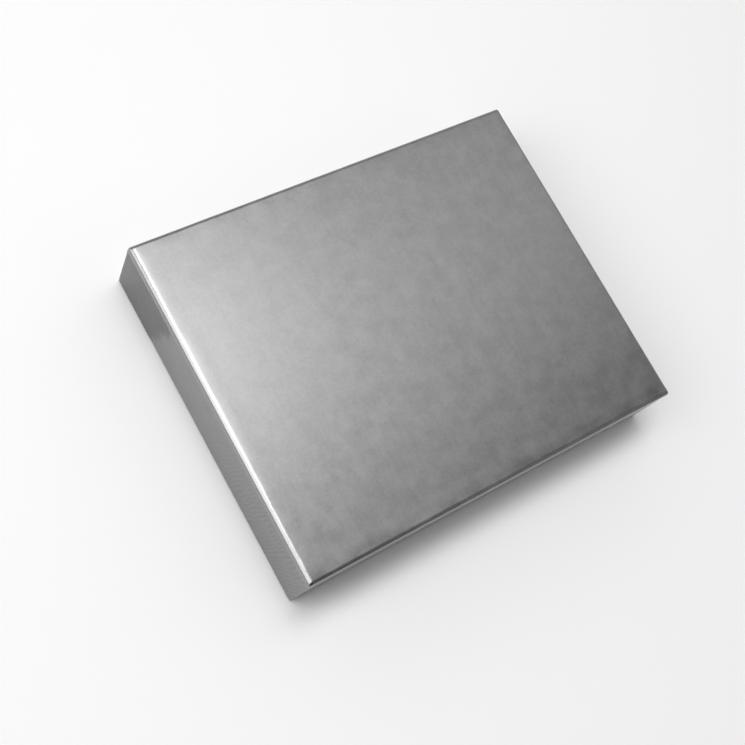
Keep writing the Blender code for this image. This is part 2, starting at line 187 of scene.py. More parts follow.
# %% The room
ROOM_DIM = 0.07
ROOM_BRIGHT = 0.8
BRIGHT_SIDE = (-0.09, 1.0, 0.0)


def studio_room():
    """A world that is bright low down behind the box and beside it, and dim elsewhere."""
    room = bpy.data.worlds.new("studio_room")
    room.use_nodes = True
    tree = room.node_tree
    facing = add(tree, "ShaderNodeTexCoord").outputs["Generated"]
    towards_bright = add(
        tree, "ShaderNodeVectorMath", {0: facing}, operation="DOT_PRODUCT", inputs={1: BRIGHT_SIDE}
    ).outputs["Value"]
    wall = add(
        tree, "ShaderNodeMapRange", {"Value": towards_bright}, interpolation_type="SMOOTHSTEP",
        inputs={"From Min": -0.6, "From Max": -0.25},
    ).outputs["Result"]
    height = add(tree, "ShaderNodeSeparateXYZ", {"Vector": facing}).outputs["Z"]
    low = add(
        tree, "ShaderNodeMapRange", {"Value": height}, interpolation_type="SMOOTHSTEP",
        inputs={"From Min": 0.45, "From Max": 0.75, "To Min": 1.0, "To Max": 0.0},
    ).outputs["Result"]
    share = add(tree, "ShaderNodeMath", {0: wall, 1: low}, operation="MULTIPLY").outputs["Value"]
    level = add(
        tree, "ShaderNodeMapRange", {"Value": share}, inputs={"To Min": ROOM_DIM, "To Max": ROOM_BRIGHT}
    ).outputs["Result"]
    background = tree.nodes["Background"]
    tree.links.new(background.inputs["Strength"], level)
    background.inputs["Color"].default_value = linear("#FFFFFF")
    return room


bpy.context.scene.world = studio_room()
print("world:", bpy.context.scene.world.name)

# %% [markdown]
# ## The paper's shape
#
# A wrapped box could be a bevelled cube. Real wrap shows more: the board under it is a little wavy, the folds
# along the top are soft, and the back wall's paper laps round onto the short walls. So each wrap is a fine
# grid over the box's faces. A point near an edge moves onto a round fold, and then every point moves along
# its own outward direction by a small height that follows rules of the place.

# %% The grid over a tray
FOLD_ZONE = 2.6 * MM
FOLD_STEPS = 10
MIDDLE_STEP = 1.0 * MM


def spaced(low, high, step):
    """Even places from low to high, at most a step apart."""
    count = max(int(math.ceil((high - low) / step - 1e-6)), 1)
    return [low + (high - low) * i / count for i in range(count + 1)]


def samples(low, high, fold_low=True):
    """Places along one side: close together where a fold will bend the paper, wider between."""
    places = spaced(low + FOLD_ZONE if fold_low else low, high - FOLD_ZONE, MIDDLE_STEP)
    fold = FOLD_ZONE / FOLD_STEPS
    if fold_low:
        places = [low + fold * i for i in range(FOLD_STEPS)] + places
    return places + [high - fold * (FOLD_STEPS - 1 - i) for i in range(FOLD_STEPS)]


def perimeter(xs, ys):
    """The points round a rectangle, against the clock from its low corner."""
    points = [(x, ys[0]) for x in xs[:-1]] + [(xs[-1], y) for y in ys[:-1]]
    points += [(x, ys[-1]) for x in xs[:0:-1]] + [(xs[0], y) for y in ys[:0:-1]]
    return points


# %% Round folds and corners
CORNER_RADIUS = 0.9 * MM
LEFT_FOLD = 1.7 * MM
SIDE_FOLD = 1.1 * MM
FOLD_DROP = 1.2 * MM
CORNER_POWER = 3.0
INNER_CORNER = 0.15 * MM


def across_corner(x, y):
    """A distance in plan that makes a wall's upright corner squarer than a quarter circle."""
    return (abs(x) ** CORNER_POWER + abs(y) ** CORNER_POWER) ** (1 / CORNER_POWER)


def rounded(point, low, high):
    """Moves a point of a box's surface onto the same box with folded edges, and gives its outward direction.

    The left fold was pressed over wider than the others, and below the folds the corners are sharp.
    """
    rise = min(max(1 - (high.z - point[2]) / FOLD_ZONE, 0.0), 1.0)
    soft = rise * rise * (3 - 2 * rise)
    left = CORNER_RADIUS + (LEFT_FOLD - CORNER_RADIUS) * soft
    side = CORNER_RADIUS + (SIDE_FOLD - CORNER_RADIUS) * soft
    radii = Vector((left if point[0] < (low.x + high.x) / 2 else side, side, FOLD_DROP))
    core = Vector((
        min(max(point[0], low.x + left), high.x - side),
        min(max(point[1], low.y + side), high.y - side),
        min(point[2], high.z - FOLD_DROP),
    ))
    away = Vector([(p - c) / r for p, c, r in zip(point, core, radii)])
    away /= math.hypot(across_corner(away.x, away.y), away.z)
    outward = Vector([a / r for a, r in zip(away, radii)])
    return core + away * radii, outward.normalized()


def inset_ring(points, low, high, inset):
    """The same points on a rectangle drawn in by inset, whose corners stay round for as long as they can."""
    radius = max(CORNER_RADIUS - inset, INNER_CORNER)
    ring = []
    for x, y in points:
        moved = []
        for p, start, end in ((x, low[0], high[0]), (y, low[1], high[1])):
            share = (p - start - CORNER_RADIUS) / (end - start - 2 * CORNER_RADIUS)
            length = end - start - 2 * (inset + radius)
            moved.append(start + inset + radius + min(max(share, 0.0), 1.0) * length)
        corner_x = min(max(x, low[0] + CORNER_RADIUS), high[0] - CORNER_RADIUS)
        corner_y = min(max(y, low[1] + CORNER_RADIUS), high[1] - CORNER_RADIUS)
        away = Vector((x - corner_x, y - corner_y))
        out = away * (radius / across_corner(away.x, away.y))
        ring.append((moved[0] + out.x, moved[1] + out.y, away.normalized()))
    return ring


# %% [markdown]
# ## Pieces from points and faces
#
# Every finer piece becomes one mesh with its place in its points, rides on the body that carries it, and
# takes over from the solid that it stands for. One function does that for all of them.


# %% Making a piece
def finish_piece(name, bm, material, body, nodes=(), angle=40.0):
    """Makes the piece's object. Faces that meet at less than the angle look round."""
    mesh = bpy.data.meshes.new(name)
    bm.to_mesh(mesh)
    bm.free()
    mesh.shade_smooth()
    mesh.set_sharp_from_angle(angle=math.radians(angle))
    mesh.materials.append(material)
    piece = bpy.data.objects.new(name, mesh)
    bpy.context.scene.collection.objects.link(piece)
    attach(piece, body)
    if nodes:
        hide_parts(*nodes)
    print(f"{name}: {len(mesh.polygons)} faces, for {', '.join(nodes) or 'no node'}")
    return piece


def thicken(piece, thickness):
    """Gives an open sheet its thickness, inwards from the face that was made."""
    solidify = piece.modifiers.new("thickness", "SOLIDIFY")
    solidify.thickness = thickness
    solidify.offset = -1.0


def dress(material, *names):
    """Gives solids whose shape is right a finish of their own."""
    for name in names:
        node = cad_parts[name]
        node.data.materials.clear()
        node.data.materials.append(material)
    print(material.name, "on", len(names), "solids")


# %% [markdown]
# ## Wrapping a tray
#
# The paper runs over the panel and down the walls, folds over the rim and ends as a band inside. The wrap is
# made as that one open sheet and then thickened towards the board, so its cut edge is real too. The base is
# the same thing upside down. Every point also carries three marks for the finish: how much a fold polished
# the paper there, which also lightens it as a painted highlight, whether it lies on the lap, and how wrinkled
# it is, which also darkens it as painted shade.


# %% The wrap
PAPER = 0.2 * MM
RIM_RADIUS = 0.45 * MM
RIM_TURN_STEP = 0.4  # radians
WALL_STACK = 2.25 * MM
BAND_STEP = 1.5 * MM
# The fold mark also gives a painted highlight, and the wrinkle mark gives painted shade.
MARKS = ("fold", "lap", "wrinkle")


def tray_wrap(name, node, rim_down, body, turn_in, relief, marks):
    """Wraps a tray. Relief and marks are rules that take a place and its outward direction."""
    low, high = (Vector(c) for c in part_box(node))
    xs, ys = samples(low.x, high.x), samples(low.y, high.y)
    zs = samples(low.z + RIM_RADIUS, high.z, fold_low=False)
    bm = bmesh.new()
    layers = [bm.verts.layers.float.new(mark) for mark in MARKS]
    made = {}

    def marked_vert(place, away, fade=1.0):
        if not rim_down:
            place = Vector((place.x, place.y, low.z + high.z - place.z))
            away = Vector((away.x, away.y, -away.z))
        vert = bm.verts.new(place + away * relief(place, away) * fade)
        for layer, value in zip(layers, marks(place, away)):
            vert[layer] = value
        return vert

    def vert(x, y, z):
        key = (round(x / MM, 4), round(y / MM, 4), round(z / MM, 4))
        if key not in made:
            made[key] = marked_vert(*rounded((x, y, z), low, high))
        return made[key]

    def quad(a, b, c, d):
        bm.faces.new((a, b, c, d) if rim_down else (d, c, b, a))

    for x0, x1 in zip(xs, xs[1:]):
        for y0, y1 in zip(ys, ys[1:]):
            quad(vert(x0, y0, high.z), vert(x1, y0, high.z), vert(x1, y1, high.z), vert(x0, y1, high.z))
    ring = perimeter(xs, ys)
    around = list(zip(ring, ring[1:] + ring[:1]))
    for z0, z1 in zip(zs, zs[1:]):
        for (xa, ya), (xb, yb) in around:
            quad(vert(xa, ya, z0), vert(xb, yb, z0), vert(xb, yb, z1), vert(xa, ya, z1))

    turns = [
        (RIM_RADIUS * (1 - math.cos(turn)), RIM_RADIUS * (1 - math.sin(turn)))
        for turn in spaced(0, math.pi / 2, RIM_TURN_STEP)
    ]
    rows = turns + [(WALL_STACK - inset, rise) for inset, rise in reversed(turns)]
    rows += [(WALL_STACK, rise) for rise in spaced(RIM_RADIUS, turn_in, BAND_STEP)[1:]]
    upper = [vert(x, y, zs[0]) for x, y in ring]
    for inset, rise in rows[1:]:
        fade = max(1 - inset / RIM_RADIUS, 0.0)
        lower = []
        for x, y, away in inset_ring(ring, low, high, inset):
            lower.append(marked_vert(Vector((x, y, low.z + rise)), away.to_3d(), fade))
        for i in range(len(ring)):
            j = (i + 1) % len(ring)
            quad(lower[i], lower[j], upper[j], upper[i])
        upper = lower
    wrap = finish_piece(name, bm, SILVER, body, [node])
    thicken(wrap, PAPER)


# %% [markdown]
# ## Silver metallised paper
#
# The wrap is paper with a thin layer of aluminium and a satin lacquer. It mirrors the studio, blurred by the
# lacquer and by the fibres under it. Its cloudy mottling is mostly a change of gloss with a little of tone,
# so one noise drives both. The relief is far too fine to model, so bumps at the sizes of board waves, fibres,
# streaks, specks and wrinkles stand in for it. Where a fold was pressed, the paper is smoother, and a painted
# highlight lightens its colour. The wrinkles also darken the colour as painted shade, the specks lighten it
# as a painted glint, and the lap is darker.


# %% Colours along a ramp
def colour_stops(ramp, colours, low=0.3, high=0.7):
    """Spreads hex colours evenly over a colour ramp, between two levels of the value that it reads."""
    stops = ramp.color_ramp.elements
    while len(stops) < len(colours):
        stops.new(0.5)
    for i, colour in enumerate(colours):
        stops[i].position = low + (high - low) * i / (len(colours) - 1)
        stops[i].color = linear(colour)
    return ramp.outputs["Color"]


# %% Clouds, fibres and streaks
CLOUD_SIZE = 6 * MM
FIBRE_CLUMP = 0.6 * MM
STREAK_WIDTH = 0.9 * MM


def paper_noises(tree, place):
    """Clouds in the lacquer, fibres under it, and streaks that the paper's rollers left along it."""
    cloud = add(
        tree, "ShaderNodeTexNoise", {"Vector": place},
        inputs={"Scale": 1 / CLOUD_SIZE, "Detail": 8.0, "Roughness": 0.72},
    ).outputs["Fac"]
    fibre = add(
        tree, "ShaderNodeTexNoise", {"Vector": place}, inputs={"Scale": 1 / FIBRE_CLUMP, "Detail": 2.0}
    ).outputs["Fac"]
    rolled = add(
        tree, "ShaderNodeMapping", {"Vector": place}, inputs={"Scale": (1.0, 0.04, 1.0)}
    ).outputs["Vector"]
    streaks = add(
        tree, "ShaderNodeTexNoise", {"Vector": rolled}, inputs={"Scale": 1 / STREAK_WIDTH, "Detail": 2.0}
    ).outputs["Fac"]
    return cloud, fibre, streaks


# %% Wrinkles and specks
WRINKLE_PITCH = 1.4 * MM
WAVE_REPEAT = 0.1 * math.pi  # the distance at which a wave texture's bands repeat at scale 1
SPECK_SPACING = 5 * MM
SPECK_RADIUS = 0.45 * MM


def wrinkles_and_specks(tree, place, cloud, wrinkle):
    """Wavy wrinkles where the paper is marked as wrinkled and specks trapped under it, in patches, for bumps,
    painted shade and a painted glint.
    """
    specks = add(
        tree, "ShaderNodeTexVoronoi", {"Vector": place},
        inputs={"Scale": 1 / SPECK_SPACING, "Randomness": 1.0},
    ).outputs["Distance"]
    pimple = add(
        tree, "ShaderNodeMapRange", {"Value": specks}, interpolation_type="SMOOTHSTEP",
        inputs={"From Min": 0.0, "From Max": SPECK_RADIUS / SPECK_SPACING, "To Min": 1.0, "To Max": 0.0},
    ).outputs["Result"]
    slanted = add(
        tree, "ShaderNodeMapping", {"Vector": place}, inputs={"Rotation": (-0.25, 0.0, 0.0)}
    ).outputs["Vector"]
    crumple = add(
        tree, "ShaderNodeTexWave", {"Vector": slanted}, bands_direction="Y",
        inputs={
            "Scale": WAVE_REPEAT / WRINKLE_PITCH, "Distortion": 12.0, "Detail": 3.0, "Detail Scale": 0.4,
            "Detail Roughness": 0.4,
        },
    ).outputs["Fac"]
    patchy = add(
        tree, "ShaderNodeMapRange", {"Value": cloud}, interpolation_type="SMOOTHSTEP",
        inputs={"From Min": 0.38, "From Max": 0.56, "To Min": 0.1, "To Max": 1.0},
    ).outputs["Result"]
    strained = add(tree, "ShaderNodeMath", {0: wrinkle, 1: patchy}, operation="MULTIPLY").outputs["Value"]
    wrinkle_relief_and_shade = add(tree, "ShaderNodeMath", {0: crumple, 1: strained}, operation="MULTIPLY").outputs["Value"]
    fleck = add(tree, "ShaderNodeMath", {0: pimple, 1: patchy}, operation="MULTIPLY").outputs["Value"]
    return wrinkle_relief_and_shade, fleck


# %% The lap's frayed end
LAP_BRUSH = 0.7 * MM


def frayed_lap(tree, place, lap):
    """The lap, whose end is ragged with slanting strokes, as where glue was brushed out under it."""
    brushed = add(
        tree, "ShaderNodeMapping", {"Vector": place}, inputs={"Rotation": (-0.64, 0.0, 0.0)}
    ).outputs["Vector"]
    drawn_out = add(
        tree, "ShaderNodeMapping", {"Vector": brushed}, inputs={"Scale": (1.0, 0.12, 1.0)}
    ).outputs["Vector"]
    strokes = add(
        tree, "ShaderNodeTexNoise", {"Vector": drawn_out}, inputs={"Scale": 1 / LAP_BRUSH, "Detail": 2.0}
    ).outputs["Fac"]
    frayed = add(
        tree, "ShaderNodeMath", {0: strokes, 2: lap}, operation="MULTIPLY_ADD", inputs={1: 0.9}
    ).outputs["Value"]
    return add(
        tree, "ShaderNodeMapRange", {"Value": frayed}, interpolation_type="SMOOTHSTEP",
        inputs={"From Min": 0.90, "From Max": 1.02, "To Min": 0.0, "To Max": 1.0},
    ).outputs["Result"]


# %% Silver paper
BOARD_WAVE = 3 * MM


def silver_paper():
    made, tree, shader, place = new_material("silver_metallised_paper")
    fold, lap, wrinkle = (
        add(tree, "ShaderNodeAttribute", attribute_name=mark).outputs["Fac"] for mark in MARKS
    )
    cloud, fibre, streaks = paper_noises(tree, place)
    wrinkle_relief_and_shade, fleck = wrinkles_and_specks(tree, place, cloud, wrinkle)
    lapped = frayed_lap(tree, place, lap)
    grained = add(
        tree, "ShaderNodeMath", {0: fibre, 2: cloud}, operation="MULTIPLY_ADD", inputs={1: 0.45}
    ).outputs["Value"]
    streaked = add(
        tree, "ShaderNodeMath", {0: streaks, 2: grained}, operation="MULTIPLY_ADD", inputs={1: 0.16}
    ).outputs["Value"]
    ramp = add(tree, "ShaderNodeValToRGB", {"Fac": streaked})
    colour = colour_stops(ramp, ["#828282", "#939393"], 0.58, 1.03)
    # The wrinkles darken the colour as painted shade, and the lap is darker too.
    wrinkle_shade_and_lap = add(
        tree, "ShaderNodeMath", {0: wrinkle_relief_and_shade, 2: lapped}, operation="MULTIPLY_ADD", inputs={1: 0.35},
        use_clamp=True,
    ).outputs["Value"]
    # Mixed over the tint: a darker tone for the wrinkles' painted shade and the lap, a lighter painted glint
    # on the specks, and a lighter painted highlight on the pressed fold.
    for share, tone in ((wrinkle_shade_and_lap, "#6A6A6A"), (fleck, "#959595"), (fold, "#9E9E9E")):
        colour = add(
            tree, "ShaderNodeMix", {0: share, 6: colour}, data_type="RGBA", inputs={7: linear(tone)}
        ).outputs[2]
    gloss = add(
        tree, "ShaderNodeMapRange", {"Value": cloud},
        inputs={"From Min": 0.3, "From Max": 0.7, "To Min": 0.30, "To Max": 0.38},
    ).outputs["Result"]
    burnished = add(
        tree, "ShaderNodeMath", {0: fold, 2: gloss}, operation="MULTIPLY_ADD", inputs={1: -0.10}
    ).outputs["Value"]
    flattened = add(
        tree, "ShaderNodeMath", {0: fold}, operation="MULTIPLY_ADD", inputs={1: -1.9, 2: 1.0}, use_clamp=True
    ).outputs["Value"]
    board = add(
        tree, "ShaderNodeTexNoise", {"Vector": place}, inputs={"Scale": 1 / BOARD_WAVE, "Detail": 2.0}
    ).outputs["Fac"]
    bumps = (
        (board, 0.012 * MM), (streaks, 0.0015 * MM), (fleck, 0.012 * MM), (wrinkle_relief_and_shade, 0.04 * MM),
        (fibre, 0.01 * MM),
    )
    relief = None
    for height, depth in bumps:
        links = {"Height": height, "Strength": flattened}
        if relief:
            links["Normal"] = relief
        relief = add(tree, "ShaderNodeBump", links, inputs={"Distance": depth}).outputs["Normal"]
    tree.links.new(shader.inputs["Base Color"], colour)
    tree.links.new(shader.inputs["Roughness"], burnished)
    tree.links.new(shader.inputs["Normal"], relief)
    shader.inputs["Metallic"].default_value = 1.0
    return made


SILVER = silver_paper()
print("wraps wear", SILVER.name)

# %% [markdown]
# ## The lid's and the base's paper
#
# Both papers are wrapped in the same way and differ in what board, glue and hands left in them. The lid's
# panel waves a little, a low lip runs inside its folds, and the paper tucked in at its corners swells there.
# On each short wall the back wall's paper ends in a slanting lap, and toward the front the paper is wrinkled.
# A rule gives the height of all that at a place, and the marks tell the finish where it is.

# %% Places on the paper
LID_LOW, LID_HIGH = (Vector(c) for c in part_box("lid_wrap"))
LAP_REACH = 29 * MM
LAP_SLANT = 0.35


def noise_at(place, size, seed=0.0):
    """Smooth noise from -1 to 1 whose bumps are about as wide as size."""
    return noise.noise(Vector(place) / size + Vector((seed, seed * 0.7, -seed)))


def bell(distance, width):
    return math.exp(-((distance / width) ** 2))


def smooth_step(value):
    value = min(max(value, 0.0), 1.0)
    return value * value * (3 - 2 * value)


def past_lap(place):
    """How far a point lies behind the slanting end of the paper that laps round from the back wall."""
    return place.y - (LID_HIGH.y - LAP_REACH + LAP_SLANT * (LID_HIGH.z - place.z))


def below_fold(place):
    """One on the lid's walls, nought in the fold round its top."""
    return smooth_step((LID_HIGH.z - place.z) / (2 * MM) - 0.6)


def wrinkle_share(place):
    """Wrinkles are strongest at the front end of the short walls."""
    return smooth_step((10 * MM - place.y) / (50 * MM))


print("lap:", round(LAP_REACH / MM), "mm long on each short wall")

# %% The lid's paper
WAVE_HEIGHT = 0.014 * MM
RIPPLE_HEIGHT = 0.005 * MM
LIP_HEIGHT = 0.02 * MM
LIP_INSET = 3.8 * MM
DENT_DEPTH = 0.05 * MM
LAP_HEIGHT = 0.1 * MM
LAP_FADE = 12 * MM
WRINKLE_LENGTH = 3.4 * MM
WRINKLE_HEIGHT = 0.009 * MM
TUCK_HEIGHT = 0.12 * MM
TUCK_DROP = 2.2 * MM


def lid_relief(place, away):
    """How far the lid's paper stands out of its ideal box."""
    height = WAVE_HEIGHT * noise_at(place, 20 * MM, 3.1) + RIPPLE_HEIGHT * noise_at(place, 6 * MM, 8.3)
    inset = min(LID_HIGH.x - abs(place.x), LID_HIGH.y - abs(place.y))
    lip = LIP_HEIGHT * bell(inset - LIP_INSET, 2.0 * MM) * (1 + 0.8 * noise_at(place, 12 * MM, 5.5))
    dent = DENT_DEPTH * noise_at(place, 5 * MM, 2.9) * bell(inset - 0.6 * MM, 1.6 * MM)
    height += (lip + dent) * max(away.z, 0.0)
    wall = below_fold(place) * abs(away.x) ** 8
    if wall > 0:
        phase = (0.75 * place.y + 0.65 * place.z) / WRINKLE_LENGTH + 2.4 * noise_at(place, 9 * MM, 4.2)
        height += LAP_HEIGHT * smooth_step(past_lap(place) / (1.5 * MM)) * wall
        height += WRINKLE_HEIGHT * math.sin(2 * math.pi * phase) * (0.3 + wrinkle_share(place)) * wall
    sideways = math.hypot(LID_HIGH.x - abs(place.x), LID_HIGH.y - abs(place.y))
    return height + TUCK_HEIGHT * bell(math.hypot(sideways, LID_HIGH.z - place.z - TUCK_DROP), 1.5 * MM)


def lid_marks(place, away):
    """How much a place was pressed by the left fold, which also sets its painted highlight, lies on the lap
    and is wrinkled.
    """
    polish_and_highlight = bell(math.hypot(place.x - LID_LOW.x, LID_HIGH.z - place.z), 1.8 * MM)
    wall = below_fold(place) * abs(away.x) ** 8
    lap = min(max(0.5 + past_lap(place) / LAP_FADE, 0.0), 1.0)
    return polish_and_highlight, lap * wall, (0.25 + 0.75 * wrinkle_share(place)) * wall


tray_wrap("lid_silver_wrap", "lid_wrap", True, "lid", 14 * MM, lid_relief, lid_marks)

# %% The base's paper
BASE_LOW, _ = (Vector(c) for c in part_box("base_wrap"))
BASE_WAVE_HEIGHT = 0.02 * MM


def base_relief(place, away):
    return BASE_WAVE_HEIGHT * noise_at(place, 20 * MM, 6.4) * (1 - 0.5 * abs(away.z))


def base_marks(place, away):
    above_fold = smooth_step(place.z / (2 * MM) - 0.6)
    # The first mark, along the base's left fold, lightens the colour there as a painted highlight.
    return bell(math.hypot(place.x - BASE_LOW.x, place.z), 2.4 * MM), 0.0, 0.25 * above_fold


tray_wrap("base_silver_wrap", "base_wrap", False, "base", 12 * MM, base_relief, base_marks)

# %% [markdown]
# ## Greyboard, tape and liners
#
# Under the paper lie the boards, taped at their corners, and a white sheet lines each panel. Greyboard is
# pressed from waste paper, so it is grey-brown with dark and light flecks and has a rough, matt skin. Kraft
# tape is smoother and shows long fibres. The liner is uncoated white paper with a faint tooth.


# %% Boards, tape and liners
def pressed_fibre(name, colours, roughness, fleck, stretch=(1.0, 1.0, 1.0), depth=0.02 * MM):
    """Paper or board: flecks as large as its fibre clumps, drawn out where the sheet was rolled."""
    made, tree, shader, place = new_material(name)
    rolled = add(tree, "ShaderNodeMapping", {"Vector": place}, inputs={"Scale": stretch}).outputs["Vector"]
    flecks = add(
        tree, "ShaderNodeTexNoise", {"Vector": rolled},
        inputs={"Scale": 1 / fleck, "Detail": 5.0, "Roughness": 0.7},
    ).outputs["Fac"]
    clumps = add(
        tree, "ShaderNodeTexNoise", {"Vector": rolled}, inputs={"Scale": 0.15 / fleck, "Detail": 3.0}
    ).outputs["Fac"]
    mixed = add(tree, "ShaderNodeMath", {0: flecks, 1: clumps}, operation="ADD").outputs["Value"]
    tint = colour_stops(add(tree, "ShaderNodeValToRGB", {"Fac": mixed}), colours, 0.75, 1.25)
    tooth = add(tree, "ShaderNodeBump", {"Height": flecks}, inputs={"Distance": depth}).outputs["Normal"]
    tree.links.new(shader.inputs["Base Color"], tint)
    tree.links.new(shader.inputs["Normal"], tooth)
    shader.inputs["Roughness"].default_value = roughness
    return made


GREYBOARD = pressed_fibre(
    "recycled_greyboard", ["#7D776C", "#8D877B", "#9A9488"], 0.92, 0.8 * MM, depth=0.05 * MM
)
KRAFT_TAPE = pressed_fibre("kraft_paper_tape", ["#A77F54", "#B58D60", "#C09B70"], 0.8, 0.5 * MM, (1, 1, 0.25))
LINER_PAPER = pressed_fibre("uncoated_white_paper", ["#E8E5DF", "#ECE9E3", "#EFEDE8"], 0.85, 0.4 * MM)
dress(GREYBOARD, "lid_board", "base_board")
dress(KRAFT_TAPE, *[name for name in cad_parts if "corner_stay" in name])
dress(LINER_PAPER, "lid_liner", "base_liner")

# %% [markdown]
# ## Foil, clear film and brass
#
# The shield is a laminate of aluminium foil, crinkled a little by the folding. The window is a soft clear
# film with a faint haze. The snap's four stampings are brass, tumbled after pressing, so their gloss is even
# and fine scratches run in all directions.


# %% Foil and brass
def bare_metal(name, colours, low_gloss, high_gloss, patch, scratch, depth):
    made, tree, shader, place = new_material(name)
    patches = add(
        tree, "ShaderNodeTexNoise", {"Vector": place}, inputs={"Scale": 1 / patch, "Detail": 4.0}
    ).outputs["Fac"]
    marks = add(
        tree, "ShaderNodeTexNoise", {"Vector": place},
        inputs={"Scale": 1 / scratch, "Detail": 6.0, "Distortion": 1.5},
    ).outputs["Fac"]
    tint = colour_stops(add(tree, "ShaderNodeValToRGB", {"Fac": patches}), colours)
    gloss = add(
        tree, "ShaderNodeMapRange", {"Value": marks},
        inputs={"From Min": 0.3, "From Max": 0.7, "To Min": low_gloss, "To Max": high_gloss},
    ).outputs["Result"]
    relief = add(tree, "ShaderNodeBump", {"Height": marks}, inputs={"Distance": depth}).outputs["Normal"]
    tree.links.new(shader.inputs["Base Color"], tint)
    tree.links.new(shader.inputs["Roughness"], gloss)
    tree.links.new(shader.inputs["Normal"], relief)
    shader.inputs["Metallic"].default_value = 1.0
    return made


FOIL = bare_metal("rolled_aluminium_foil", ["#C4C5C7", "#D2D3D4"], 0.22, 0.38, 9 * MM, 2.2 * MM, 0.05 * MM)
BRASS = bare_metal("tumbled_brass", ["#B8954F", "#C6A460"], 0.24, 0.36, 3 * MM, 0.3 * MM, 0.004 * MM)
dress(FOIL, "wallet_rfid_shield")
dress(BRASS, "snap_cap", "snap_socket", "snap_stud", "snap_post")

# %% Clear film
HAZE_PATCH = 6 * MM


def clear_film():
    made, tree, shader, place = new_material("soft_clear_film")
    haze = add(
        tree, "ShaderNodeTexNoise", {"Vector": place}, inputs={"Scale": 1 / HAZE_PATCH, "Detail": 3.0}
    ).outputs["Fac"]
    gloss = add(
        tree, "ShaderNodeMapRange", {"Value": haze},
        inputs={"From Min": 0.3, "From Max": 0.7, "To Min": 0.08, "To Max": 0.2},
    ).outputs["Result"]
    tree.links.new(shader.inputs["Roughness"], gloss)
    shader.inputs["Base Color"].default_value = linear("#DCE3E4")
    shader.inputs["IOR"].default_value = 1.53
    shader.inputs["Alpha"].default_value = 0.4
    return made


dress(clear_film(), "id_window")

# %% [markdown]
# ## Leather, lining and thread
#
# The wallet is full-grain calf with a waxed finish. Its grain is a net of small cells with creases between
# them, drawn 1 mm across, coarser than life, so that it shows, and painted shade darkens the creases. The cut
# edges are burnished, so they are darker and smoother, and each leather piece carries how near a point is to
# an edge as an attribute called edge. The lining is a plain weave of cotton, dark and matt, and its yarns are
# drawn coarser too, with painted shade between them. The thread is waxed linen, paler than the leather, with
# a dull gleam and the unevenness of its twist.


# %% Calf leather
GRAIN_CELL = 1.0 * MM
GRAIN_BEND = 2.5 * MM
GRAIN_SHIFT = 0.6 * MM
PORE_SIZE = 0.25 * MM
DYE_CLOUD = 14 * MM


def calf_leather():
    made, tree, shader, place = new_material("waxed_calf_leather")
    edge = add(tree, "ShaderNodeAttribute", attribute_name="edge").outputs["Fac"]
    bend = add(
        tree, "ShaderNodeTexNoise", {"Vector": place}, inputs={"Scale": 1 / GRAIN_BEND, "Detail": 2.0}
    ).outputs["Color"]
    shifted = add(
        tree, "ShaderNodeVectorMath", {0: bend, 2: place}, operation="MULTIPLY_ADD",
        inputs={1: (GRAIN_SHIFT, GRAIN_SHIFT, GRAIN_SHIFT)},
    ).outputs["Vector"]
    cells = add(
        tree, "ShaderNodeTexVoronoi", {"Vector": shifted}, feature="DISTANCE_TO_EDGE",
        inputs={"Scale": 1 / GRAIN_CELL},
    ).outputs["Distance"]
    crease = add(
        tree, "ShaderNodeMapRange", {"Value": cells}, interpolation_type="SMOOTHSTEP",
        inputs={"From Min": 0.0, "From Max": 0.16, "To Min": 0.0, "To Max": 1.0},
    ).outputs["Result"]
    pores = add(
        tree, "ShaderNodeTexNoise", {"Vector": place}, inputs={"Scale": 1 / PORE_SIZE, "Detail": 2.0}
    ).outputs["Fac"]
    cloud = add(
        tree, "ShaderNodeTexNoise", {"Vector": place}, inputs={"Scale": 1 / DYE_CLOUD, "Detail": 5.0}
    ).outputs["Fac"]
    tint = colour_stops(add(tree, "ShaderNodeValToRGB", {"Fac": cloud}), ["#4E301C", "#5F3D25", "#6D4A2E"])
    # Darker in the creases between the grain's cells: painted shade.
    tint_with_crease_shade = add(
        tree, "ShaderNodeMix", {0: crease, 7: tint}, data_type="RGBA", inputs={6: linear("#3A2313")}
    ).outputs[2]
    burnished = add(
        tree, "ShaderNodeMix", {0: edge, 6: tint_with_crease_shade}, data_type="RGBA", inputs={7: linear("#2E1A0E")}
    ).outputs[2]
    gloss = add(
        tree, "ShaderNodeMapRange", {"Value": crease},
        inputs={"From Min": 0.0, "From Max": 1.0, "To Min": 0.62, "To Max": 0.44},
    ).outputs["Result"]
    net = add(tree, "ShaderNodeBump", {"Height": crease}, inputs={"Distance": 0.05 * MM}).outputs["Normal"]
    relief = add(
        tree, "ShaderNodeBump", {"Height": pores, "Normal": net}, inputs={"Distance": 0.012 * MM}
    ).outputs["Normal"]
    tree.links.new(shader.inputs["Base Color"], burnished)
    tree.links.new(shader.inputs["Roughness"], gloss)
    tree.links.new(shader.inputs["Normal"], relief)
    return made


LEATHER = calf_leather()

# %% Woven cotton
WEAVE_PITCH = 0.7 * MM
SLUB_SIZE = 3 * MM


